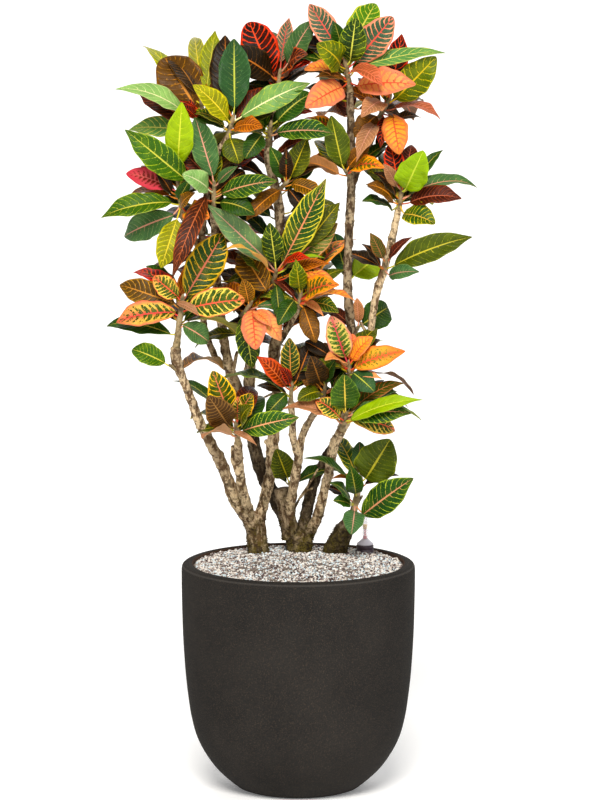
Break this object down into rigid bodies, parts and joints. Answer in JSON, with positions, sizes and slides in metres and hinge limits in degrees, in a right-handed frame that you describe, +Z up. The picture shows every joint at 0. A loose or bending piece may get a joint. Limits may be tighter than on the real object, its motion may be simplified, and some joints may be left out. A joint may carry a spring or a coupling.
{
  "type": "potted croton",
  "caption": "Tall multi-stemmed croton with patterned leaves, standing in an egg-shaped floor planter filled with stone granules, with a water gauge.",
  "frame": {"origin": "centre of the planter's flat foot, on the surface it stands on", "axes": "+Z up along the planter's axis, -Y towards the front of the plant, +X to the right seen from the front"},
  "size_m": [0.6884, 0.431, 1.4572],
  "materials": {
    "planter": "matt anthracite cast composite with fine tan specks",
    "granules": "mixed cream, grey and brown stone granules",
    "gauge_dark": "dark purple-grey moulded plastic",
    "gauge_clear": "clear plastic tube",
    "gauge_red": "red plastic float",
    "gauge_yellow": "yellow plastic pointer",
    "bark": "knobbly beige-brown bark with leaf scars, mossy at the base",
    "leaf_green": "leathery satin leaves, green with yellow and pink veins",
    "leaf_orange": "leathery satin leaves, orange, salmon and red",
    "leaf_dark": "leathery satin leaves, dark brown and maroon with orange veins"
  },
  "bodies": {
    "root": {"planter": "planter", "granules": "granules", "gauge_shaft": "gauge_dark", "gauge_tube": "gauge_clear", "gauge_float": "gauge_red", "gauge_pointer": "gauge_yellow", "trunk_left": "bark", "trunk_middle": "bark", "trunk_right": "bark", "head_top_left": "leaf_dark", "head_upper_left": "leaf_green", "head_top_middle": "leaf_dark", "head_upper_middle": "leaf_green", "sprig_middle": "leaf_green", "head_top_right": "leaf_green", "sprig_right": "leaf_green", "head_right_upper": "leaf_orange", "head_right_middle": "leaf_green", "sprig_right_low": "leaf_green", "sprig_tall_low": "leaf_green", "sprig_tall_high": "leaf_green", "head_left_outer": "leaf_green", "head_left_inner": "leaf_green", "head_centre": "leaf_green", "head_centre_low": "leaf_green", "head_low_left": "leaf_green", "sprig_low_left": "leaf_green", "head_mid_left": "leaf_orange", "head_low_middle": "leaf_green", "head_low_middle_right": "leaf_dark", "head_orange": "leaf_orange", "head_low_right": "leaf_green", "head_base_right": "leaf_green", "head_low_left_inner": "leaf_green", "sprig_base_middle": "leaf_green"}
  },
  "joints": []
}
